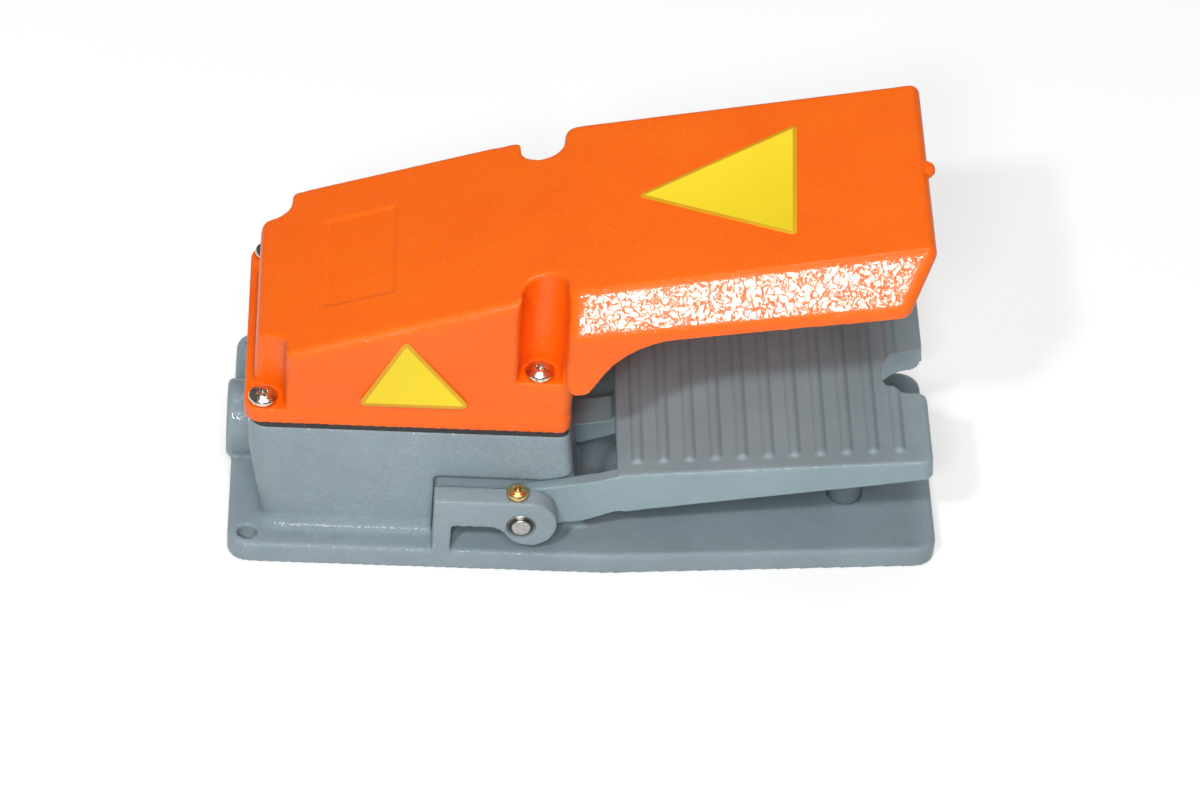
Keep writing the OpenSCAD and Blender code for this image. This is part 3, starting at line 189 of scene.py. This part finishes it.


def paint(name, light, mid, dark, rim, gloss, peel, peel_h, grain_h):
    """Powder coat: creased orange peel, fine grain, slight drift of the tone, thin bright edges in the tone
    rim, which are a painted highlight, and painted shade in hollows.
    """
    n = Net(name)
    drift = n.noise(38, 4, 0.6)
    base = n.ramp(drift, [(0.34, dark), (0.5, mid), (0.68, light)])
    fine = n.noise(0.55, 2, 0.6)
    base = n.mix(n.span(fine, 0.35, 0.75, 0.0, 0.16), base, dark)
    edge = n.pointiness()
    # The rim tone on edges is a painted highlight
    base = n.mix(n.span(edge, *PAINTED_EDGE_HIGHLIGHT), base, rim)
    # The darker tone in hollows is a painted shade
    base = n.mix(n.span(edge, *PAINTED_HOLLOW_SHADE), base, scaled(dark, 0.45))
    n.put("Base Color", base)
    n.patchy(9, 5, 0.65, gloss - 0.05, gloss + 0.07)
    lumps = n.math("SUBTRACT", n.noise(peel, 2.5, 0.5, distort=0.5), 0.5)
    crease = n.span(n.math("ABSOLUTE", lumps), 0.0, CREASE)
    low = n.bump(crease, peel_h, under=n.bump(n.noise(peel * 0.8, 2, 0.5), peel_h * 0.45))
    n.put("Normal", n.bump(n.noise(0.42, 2, 0.5), grain_h, under=low))
    n.set(Specular_IOR_Level=0.24, Coat_Weight=0.38, Coat_Roughness=0.07)
    n.put("Coat Normal", low)
    return n.mat


def metal(name, light, dark, rough, scratch, stretch=(1, 1, 1), blotch=3.0):
    """Plated or turned metal, blotchy, darker in its hollows."""
    n = Net(name)
    pale = tuple(min(1, v * 1.08) for v in light)
    base = n.ramp(n.noise(blotch, 4, 0.6), [(0.3, dark), (0.55, light), (0.75, pale)])
    n.put("Base Color", n.mix(n.span(n.pointiness(), 0.49, 0.42, 0.0, 0.6), base, scaled(dark, 0.3)))
    n.patchy(1.2, 4, 0.7, rough - 0.06, rough + 0.1)
    n.put("Normal", n.bump(n.noise(0.6, 4, 0.6, stretch=stretch), scratch))
    n.set(Metallic=1.0)
    return n.mat


def moulded(name, light, dark, rough, grain_h, coat=0.0):
    """Rubber or plastic with slightly paler edges."""
    n = Net(name)
    base = n.ramp(n.noise(6, 4, 0.6), [(0.35, dark), (0.65, light)])
    pale = tuple(min(1, v * 1.5 + 0.02) for v in light)
    n.put("Base Color", n.mix(n.span(n.pointiness(), 0.51, 0.57, 0.0, 0.25), base, pale))
    n.patchy(2, 3, 0.6, rough - 0.06, rough + 0.08)
    n.put("Normal", n.bump(n.noise(0.35, 3, 0.6), grain_h))
    n.set(Coat_Weight=coat)
    return n.mat


def pin_face(name, x0, z0, r):
    """Turned pin end: fine rings, a groove inside the rim and a chamfer, with a painted dark reflection over
    the groove and a painted highlight on the chamfer.
    """
    n = Net(name)
    off = n.mapping(n.where, Location=(-x0 * MM, 0, -z0 * MM))
    flat = n.mapping(off, Scale=(1 / (r * MM), 0, 1 / (r * MM)))
    far = n.add("ShaderNodeVectorMath", operation="LENGTH")
    n.link(flat, far.inputs[0])
    out = far.outputs["Value"]
    # Dark ring near 0.7 is a painted reflection, bright ring near 0.9 is a painted highlight
    base = n.ramp(out, [(0.0, (0.4, 0.42, 0.42)), (0.62, (0.46, 0.47, 0.46)), (0.7, (0.06, 0.058, 0.05)),
                        (0.84, (0.1, 0.095, 0.08)), (0.9, (0.7, 0.68, 0.62)), (1.0, (0.5, 0.48, 0.42))])
    stain = n.span(n.noise(1.6, 4, 0.65), 0.4, 0.7, 0.0, 0.55)
    n.put("Base Color", n.mix(stain, base, (0.16, 0.15, 0.13)))
    n.patchy(1.0, 3, 0.6, 0.28, 0.44)
    dish = n.bump(n.span(out, 0.6, 0.72, 0.0, -1.0), 0.5)
    n.put("Normal", n.bump(n.noise(0.3, 3, 0.6), 0.01, under=dish))
    n.set(Metallic=0.85)
    return n.mat


def foil(name, light, dark, rough):
    """Printed foil of the patches."""
    n = Net(name)
    base = n.ramp(n.noise(30, 2, 0.5), [(0.3, dark), (0.7, light)])
    specks = n.span(n.noise(0.5, 2, 0.7), 0.7, 0.78, 0.0, 0.25)
    n.put("Base Color", n.mix(specks, base, scaled(dark, 0.7)))
    n.patchy(5, 4, 0.6, rough - 0.05, rough + 0.08)
    low = n.bump(n.noise(1.5, 2, 0.5), 0.012)
    n.put("Normal", n.bump(n.noise(0.3, 2, 0.5), 0.003, under=low))
    return n.mat


def floor_material():
    """Pale floor with a glow that is seen, also in reflections, and that lights nothing."""
    n = Net("studio_floor")
    n.set(Roughness=0.5, Specular_IOR_Level=0.2)
    n.put("Base Color", n.ramp(n.noise(300, 3, 0.5), [(0.3, (0.57, 0.57, 0.57)), (0.7, (0.6, 0.6, 0.6))]))
    n.put("Normal", n.bump(n.noise(2.5, 3, 0.5), 0.004))
    path = n.add("ShaderNodeLightPath")
    seen = n.math("MAXIMUM", path.outputs["Is Camera Ray"], path.outputs["Is Glossy Ray"])
    seen = n.math("MAXIMUM", seen, path.outputs["Is Transmission Ray"])
    glow = n.add("ShaderNodeEmission")
    glow.inputs["Color"].default_value = (1, 1, 1, 1)
    n.link(n.span(seen, 0, 1, 0.0, 0.5), glow.inputs["Strength"])
    both = n.add("ShaderNodeAddShader")
    n.link(n.shader.outputs[0], both.inputs[0])
    n.link(glow.outputs[0], both.inputs[1])
    n.link(both.outputs[0], n.tree.nodes["Material Output"].inputs["Surface"])
    return n.mat


# The fourth colour of each paint is its rim tone, the painted highlight on edges
orange = paint("orange_powder_coat", (1.0, 0.156, 0.001), (0.99, 0.145, 0.0008), (0.965, 0.135, 0.0006),
               (1.0, 0.21, 0.03), 0.48, 2.0, 0.056, 0.006)
grey = paint("grey_enamel_coat", (0.3, 0.38, 0.42), (0.275, 0.348, 0.388), (0.25, 0.318, 0.356),
             (0.5, 0.57, 0.6), 0.46, 1.5, 0.075, 0.006)
# The tread's coat is the housing's grey made paler and bluer: painted light that makes up for the hood's
# shade and the orange light bounced onto the tread
grey_brightened_tread = paint("grey_brightened_tread_coat", (0.31, 0.415, 0.455), (0.283, 0.38, 0.418), (0.26, 0.35, 0.387),
                   (0.32, 0.425, 0.465), 0.4, 1.5, 0.06, 0.006)
LOOK = {
    "orange_enamel": orange,
    "grey_enamel": grey,
    "black_rubber": moulded("black_nitrile", (0.022, 0.022, 0.024), (0.012, 0.012, 0.013), 0.62, 0.02),
    "plated_steel": metal("zinc_plate", (0.72, 0.69, 0.63), (0.42, 0.39, 0.34), 0.24, 0.006),
    "bright_steel": metal("turned_steel", (0.68, 0.67, 0.65), (0.46, 0.44, 0.41), 0.2, 0.005, (1, 6, 1)),
    "yellow_plating": metal("yellow_zinc", (0.74, 0.55, 0.24), (0.4, 0.25, 0.09), 0.26, 0.006, blotch=1.6),
    "brass": metal("turned_brass", (0.82, 0.64, 0.3), (0.55, 0.38, 0.14), 0.24, 0.004),
    "dark_plastic": moulded("phenolic", (0.03, 0.027, 0.026), (0.018, 0.016, 0.015), 0.42, 0.008),
    "red_plastic": moulded("red_moulding", (0.5, 0.035, 0.02), (0.38, 0.025, 0.015), 0.3, 0.004, 0.3),
    "pale_plastic": moulded("nylon", (0.76, 0.72, 0.6), (0.66, 0.61, 0.49), 0.46, 0.006),
}
nickel = metal("bright_nickel", (0.74, 0.68, 0.58), (0.3, 0.25, 0.18), 0.17, 0.012, blotch=1.5)
yellow = foil("yellow_foil", (0.93, 0.7, 0.016), (0.91, 0.675, 0.014), 0.42)
amber = foil("amber_foil", (0.8, 0.4, 0.01), (0.7, 0.33, 0.008), 0.42)

# CAD nodes whose look isn't their slot's: the ends of the pins are turned, and the buffers are grey
OWN_LOOK = {
    "pivot_pins": pin_face("pivot_pin_face", -23.0, 20.3, 5.0),
    "stop_buffers": moulded("grey_nitrile", (0.2, 0.25, 0.275), (0.16, 0.2, 0.222), 0.6, 0.02),
}


# Mesh tools

def new_object(name, data):
    o = bpy.data.objects.new(name, data)
    scene.collection.objects.link(o)
    return o


def new_mesh(name, bm):
    """Mesh from a bmesh, which is used up."""
    mesh = bpy.data.meshes.new(name)
    bm.to_mesh(mesh)
    bm.free()
    return mesh


def modifier(o, name, kind, **values):
    m = o.modifiers.new(name, kind)
    for k, v in values.items():
        setattr(m, k, v)


def baked(o):
    """Applies the modifiers."""
    bpy.context.view_layer.update()
    dg = bpy.context.evaluated_depsgraph_get()
    made = bpy.data.meshes.new_from_object(o.evaluated_get(dg))
    made.name = o.name
    o.modifiers.clear()
    o.data = made
    return o


def dress(o, mat, node_names, body, angle=None):
    """Material, shading and the piece's place in the frame. Edges over angle degrees stay sharp."""
    o.data.materials.clear()
    o.data.materials.append(mat)
    o.data.shade_smooth()
    if angle is not None:
        o.data.set_sharp_from_angle(angle=math.radians(angle))
    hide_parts(*node_names)
    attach(o, body)


# Castings

# The voxel grid is turned away from the part's faces, so that no edge comes out as steps
TILT = Matrix.Rotation(0.61, 4, "X") @ Matrix.Rotation(0.47, 4, "Y") @ Matrix.Rotation(0.38, 4, "Z")
WELD = 1e-6         # m
RELAX = 0.5
ZONE_BLEND = 1.5    # mm over which a zone's own rounds fade in


def casting(name, node, voxel, rounds, keep, soft=()):
    """The node's own solid with cast corners: evenly meshed on a tilted grid, then relaxed so that every edge
    and root is rounded. voxel is in mm, rounds is how often it is relaxed, keep is the share of faces kept.
    soft has zones with more rounds, on both sides of the part: lowest and highest corner in mm, rounds."""
    mesh = nodes[node].data.copy()
    mesh.name = name
    o = new_object(name, mesh)
    bm = bmesh.new()
    bm.from_mesh(mesh)
    bmesh.ops.remove_doubles(bm, verts=bm.verts, dist=WELD)
    bm.transform(TILT)
    bm.to_mesh(mesh)
    bm.free()
    modifier(o, "Even", "REMESH", mode="VOXEL", voxel_size=voxel * MM, use_smooth_shade=True)
    modifier(o, "Relax", "SMOOTH", factor=RELAX, iterations=rounds)
    baked(o)
    o.data.transform(TILT.inverted())
    for lo, hi, more in soft:
        group = o.vertex_groups.new(name="zone")
        mid, half = (Vector(lo) + Vector(hi)) / 2 * MM, (Vector(hi) - Vector(lo)) / 2 * MM
        for v in o.data.vertices:
            p = Vector((v.co.x, abs(v.co.y), v.co.z)) - mid
            edge = min(half.x - abs(p.x), half.y - abs(p.y), half.z - abs(p.z))
            if edge > 0:
                group.add([v.index], min(1.0, edge / (ZONE_BLEND * MM)), "REPLACE")
        modifier(o, "Zone", "SMOOTH", factor=RELAX, iterations=more, vertex_group="zone")
        baked(o)
        o.vertex_groups.clear()
    modifier(o, "Thin", "DECIMATE", ratio=keep)
    return baked(o)


FRONT_POCKET = ((-37.0, 27.0, 77.5), (-5.0, 52.0, 124.0), 46)
REAR_POCKET = ((-124.0, 27.0, 61.0), (-101.0, 52.0, 92.0), 26)
dress(casting("cover_casting", "cover", 0.55, 9, 0.5, (FRONT_POCKET, REAR_POCKET)),
      orange, ["cover"], "base")
dress(casting("base_casting", "base_housing", 0.55, 12, 0.34),
      grey, ["base_housing"], "base")
dress(casting("treadle_casting", "treadle", 0.42, 2, 0.36),
      grey_brightened_tread, ["treadle"], "treadle")


# Screws

def revolve(bm, outline, sides, centre):
    """Adds a solid of revolution of (r, z) points in mm about a vertical line through centre."""
    rings = []
    for r, z in outline:
        turns = (2 * math.pi * i / sides for i in range(sides)) if r > 0 else (0.0,)
        rings.append([bm.verts.new((centre + Vector((r * math.cos(t), r * math.sin(t), z))) * MM)
                      for t in turns])
    for a, b in zip(rings, rings[1:]):
        for i in range(sides):
            j = (i + 1) % sides
            if len(a) == 1:
                bm.faces.new((a[0], b[i], b[j]))
            elif len(b) == 1:
                bm.faces.new((a[i], b[0], a[j]))
            else:
                bm.faces.new((a[i], b[i], b[j], a[j]))


RIM_ROUND = 1.25    # mm, radius of the head's rolled rim
UNDERCUT = 0.28     # mm, how far the rim stands over the seat's edge
TIP = 0.8           # mm, chamfer at the shank's end
CROWN_REACH, CROWN_FALL = 0.86, 0.42    # shares of the head's radius and of the crown's bow
RIM_MID, RIM_HALF = 0.52, 0.48          # shares of the height of the crown's edge
HEAD_SIDES, POINT_SIDES = 48, 16


def pan_outline(d, h, shank, length):
    """Pan head with a soft crown, a rolled rim and a plain shank, from the crown down."""
    r = d / 2
    bow = r * CROWN_REACH
    crown = [(bow * math.sin(t), h - bow * (1 - math.cos(t)) * CROWN_FALL)
             for t in (math.radians(a) for a in range(0, 61, 10))]
    x1, z1 = crown[-1]
    rim = [(r - RIM_ROUND + RIM_ROUND * math.cos(t),
            z1 * RIM_MID + (z1 * RIM_HALF) * math.sin(t) / math.sin(math.radians(60)))
           for t in (math.radians(a) for a in range(60, -31, -15))]
    rim = [p for p in rim if p[0] > x1 + 0.02 and p[1] < z1]
    body = shank / 2
    return crown + rim + [(r - UNDERCUT, 0.0), (body, 0.0), (body, -length + TIP), (body - TIP, -length),
                          (0, -length)]


def cross_cutter(bm, centre, width, thick, top, deep, turn):
    """The four tapering wings of a cross recess. Its sections are above the head, half way down and at the
    bottom."""
    sections = ((top + 1.0, width, thick), (top - deep * 0.55, width * 0.72, thick * 0.72),
                (top - deep, width * 0.3, thick * 0.55))
    for k in range(2):
        a = turn + k * math.pi / 2
        u, v = Vector((math.cos(a), math.sin(a), 0)), Vector((-math.sin(a), math.cos(a), 0))
        rings = [[bm.verts.new((centre + u * (sx * w / 2) + v * (sy * t / 2) + Vector((0, 0, z))) * MM)
                  for sx, sy in ((1, 1), (-1, 1), (-1, -1), (1, -1))] for z, w, t in sections]
        bm.faces.new(rings[0])
        for p, q in zip(rings, rings[1:]):
            for i in range(4):
                bm.faces.new((p[i], q[i], q[(i + 1) % 4], p[(i + 1) % 4]))
        bm.faces.new(list(reversed(rings[-1])))


def cut(o, cutters):
    """Takes each cutter bmesh out of o. The wings cross each other, so the solver looks at each cutter's own
    crossings too."""
    tools = []
    for i, bm in enumerate(cutters):
        bmesh.ops.recalc_face_normals(bm, faces=bm.faces)
        tools.append(new_object("cutter_%d" % i, new_mesh("cutter", bm)))
        modifier(o, "cut%d" % i, "BOOLEAN", operation="DIFFERENCE", object=tools[-1], solver="EXACT",
                 use_self=True)
    baked(o)
    for tool in tools:
        bpy.data.objects.remove(tool)
    return o


def screws(name, node, mat, head_d, head_h, shank, turns, edge=0.16):
    """One pan head screw on each solid of a node that has one on either side. Lengths are in mm, turns are
    the cross recesses' angles in degrees, and edge is the width of the bevel."""
    lo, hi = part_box(node)
    lo, hi = lo / MM, hi / MM
    x = (lo.x + hi.x) / 2
    y = hi.y - head_d / 2
    seat = hi.z - head_h
    wing_w, wing_t, wing_deep = head_d * 0.56, head_d * 0.13, head_h * 0.62
    cone = [(0, head_h + 0.5), (head_d * 0.17, head_h + 0.5), (head_d * 0.13, head_h * 0.5),
            (0, head_h * 0.24)]
    bm = bmesh.new()
    cutters = []
    for s, turn in zip((-1, 1), turns):
        c = Vector((x, s * y, seat))
        revolve(bm, pan_outline(head_d, head_h, shank, seat - lo.z), HEAD_SIDES, c)
        wings = bmesh.new()
        cross_cutter(wings, c, wing_w, wing_t, head_h, wing_deep, math.radians(turn))
        point = bmesh.new()
        revolve(point, cone, POINT_SIDES, c)
        cutters += [wings, point]
    bmesh.ops.recalc_face_normals(bm, faces=bm.faces)
    o = cut(new_object(name, new_mesh(name, bm)), cutters)
    modifier(o, "Edge", "BEVEL", width=edge * MM, segments=2, limit_method="ANGLE",
             angle_limit=math.radians(38))
    dress(baked(o), mat, [node], body_of[node], 32)


screws("rear_screws", "cover_screws_rear", nickel, 10.2, 3.6, 5.0, (20, 55))
screws("front_screws", "cover_screws_front", nickel, 10.2, 3.6, 5.0, (62, 10))
screws("ear_screws", "pin_lock_screws", LOOK["yellow_plating"], 8.0, 3.4, 4.0, (38, 70),
       0.12)


# Yellow patches on the cover

CORNER_STEPS = 6
RIM_WIDTH = 1.5     # mm
STEP = 0.12         # mm, width of the bevel outside the rim and of the step inside it
SHOULDER, RIM_TOP, FIELD_TOP = 0.11, 0.17, 0.15     # mm over the face


def rounded(points, r):
    """Outline with each corner of a polygon rounded."""
    out = []
    n = len(points)
    for i in range(n):
        p, a, b = Vector(points[i]), Vector(points[i - 1]), Vector(points[(i + 1) % n])
        u, v = (a - p).normalized(), (b - p).normalized()
        half = u.angle(v) / 2
        t = r / math.tan(half)
        mid = p + (u + v).normalized() * (r / math.sin(half))
        s0, s1 = p + u * t - mid, p + v * t - mid
        turn = s0.angle_signed(s1)
        for k in range(CORNER_STEPS + 1):
            a = -turn * k / CORNER_STEPS
            c, s = math.cos(a), math.sin(a)
            out.append(mid + Vector((s0.x * c - s0.y * s, s0.x * s + s0.y * c)))
    return out


def inset(points, centre, d):
    """The outline moved inwards by d."""
    res = []
    for i, p in enumerate(points):
        t = (points[(i + 1) % len(points)] - points[i - 1]).normalized()
        side = Vector((-t.y, t.x))
        if side.dot(centre - p) < 0:
            side = -side
        res.append(p + side * d)
    return res


def patch(name, corners, r, origin, u, v, mat, rim_mat):
    """Thin foil on a flat face, with a raised rim of another material. corners are in mm along u and v."""
    w = u.cross(v).normalized()
    outer = rounded(corners, r)
    centre = sum((Vector(c) for c in corners), Vector((0, 0))) / len(corners)
    loops = [(outer, 0.0), (outer, SHOULDER), (inset(outer, centre, STEP), RIM_TOP),
             (inset(outer, centre, RIM_WIDTH), RIM_TOP), (inset(outer, centre, RIM_WIDTH + STEP), FIELD_TOP)]
    bm = bmesh.new()
    rings = [[bm.verts.new((origin + u * p.x + v * p.y + w * h) * MM) for p in pts] for pts, h in loops]
    n = len(outer)
    for k, (a, b) in enumerate(zip(rings, rings[1:])):
        for i in range(n):
            f = bm.faces.new((a[i], a[(i + 1) % n], b[(i + 1) % n], b[i]))
            f.material_index = 1 if k < 3 else 0
    bm.faces.new(rings[-1])
    f = bm.faces.new(list(reversed(rings[0])))
    f.material_index = 1
    bmesh.ops.recalc_face_normals(bm, faces=bm.faces)
    o = new_object(name, new_mesh(name, bm))
    o.data.materials.append(mat)
    o.data.materials.append(rim_mat)
    o.data.shade_smooth()
    o.data.set_sharp_from_angle(angle=math.radians(30))
    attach(o, "base")


# The slope of the hood's roof and where the near wall stands, in mm. ROOF_X is the origin of the roof's
# patch, which is ROOF_BACK behind the point where the roof is ROOF_Z high.
ROOF_RISE, ROOF_RUN = 25.0, 120.38
ROOF_X, ROOF_Z, ROOF_BACK = -8.4, 118.0, 0.32
LIFT = 0.02         # keeps the foil clear of the roof
WALL_Y = -46.62
slope = math.atan2(ROOF_RISE, ROOF_RUN)
along = math.cos(slope)
patch("top_patch", [(20.3 / along, 2.0), (74.0 / along, -31.0), (77.0 / along, 31.8)], 1.6,
      Vector((ROOF_X, 0, ROOF_Z - ROOF_BACK * math.tan(slope) + LIFT)), Vector((along, 0, math.sin(slope))),
      Vector((0, 1, 0)), yellow, amber)
patch("side_patch", [(-82.3, 63.3), (-42.0, 63.4), (-66.5, 93.3)], 1.9,
      Vector((0, WALL_Y, 0)), Vector((1, 0, 0)), Vector((0, 0, 1)), yellow, amber)


# The return spring: its own copy of the CAD mesh, in its slot's finish

spring_slot = slot_name("return_spring")
spring = new_object("spring_wire", nodes["return_spring"].data.copy())
dress(spring, LOOK[spring_slot], ["return_spring"], body_of["return_spring"], 40)
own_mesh(spring)


# The CAD nodes that no piece replaces keep their shape and get their finish

for n, o in nodes.items():
    if not o.hide_render:
        look = OWN_LOOK[n] if n in OWN_LOOK else LOOK[slot_name(n)]
        for material_slot in o.material_slots:
            material_slot.material = look


# Floor, light and camera

FLOOR_RADIUS = 5.0      # m
WORLD_LIGHT = 0.12
bm = bmesh.new()
bmesh.ops.create_circle(bm, cap_ends=True, segments=96, radius=FLOOR_RADIUS)
floor = new_object("floor", new_mesh("floor", bm))
floor.data.materials.append(floor_material())

world = bpy.data.worlds.new("studio")
scene.world = world
world.use_nodes = True
bg = world.node_tree.nodes["Background"]
bg.inputs["Color"].default_value = (1, 1, 1, 1)
bg.inputs["Strength"].default_value = WORLD_LIGHT

# Camera as fitted to the photograph: azimuth, elevation and roll in degrees, the lens in mm, and in mm the
# shift of the view and the distance from the point 60 mm over the base's middle
AZ, EL, ROLL, FOCAL, CX, CY, DIST = -4.28, 40.0, 4.86, 156.126, -5.29, 22.21, 1847.87
AIM = Vector((0, 0, 60))
a, e, r = map(math.radians, (AZ, EL, ROLL))
fwd = Vector((-math.sin(a) * math.cos(e), math.cos(a) * math.cos(e), -math.sin(e)))
right = Vector((math.cos(a), math.sin(a), 0))
up = right.cross(fwd)
cam = bpy.data.cameras.new("camera")
cam.sensor_width = 36
cam.lens = FOCAL
cam.clip_start = 0.05
axes = (right * math.cos(r) + up * math.sin(r), up * math.cos(r) - right * math.sin(r), -fwd)
place = Matrix(axes).transposed().to_4x4()
place.translation = (AIM - CX * right - CY * up - DIST * fwd) * MM
scene.camera = new_object("camera", cam)
scene.camera.matrix_world = place


def lamp(name, direction, distance, size, watts, aim):
    """Area lamp that looks at the point aim from `distance` away. Lengths are in m."""
    light = bpy.data.lights.new(name, "AREA")
    light.shape = "RECTANGLE"
    light.size, light.size_y = size
    light.energy = watts
    o = new_object(name, light)
    d = Vector(direction).normalized()
    o.location = Vector(aim) + d * distance
    o.rotation_euler = (-d).to_track_quat("-Z", "Y").to_euler()
    o.visible_camera = False


# flash mirrors in the hood's slanted side, and spark is small for the glints on edges and screws
lamp("flash", (-0.17, -0.8, 0.58), 2.1, (0.28, 0.22), 15, aim=(0.05, -0.05, 0.11))
lamp("main", (0.02, -0.68, 0.76), 2.0, (0.4, 0.4), 9, aim=(0.02, -0.02, 0.05))
lamp("spark", (-0.34, -0.68, 0.74), 2.0, (0.11, 0.11), 14, aim=(0.02, -0.02, 0.05))
lamp("top", (0.0, 0.12, 1.0), 2.0, (0.8, 0.8), 12, aim=(0.0, 0.0, 0.05))

scene.view_settings.view_transform = "Standard"
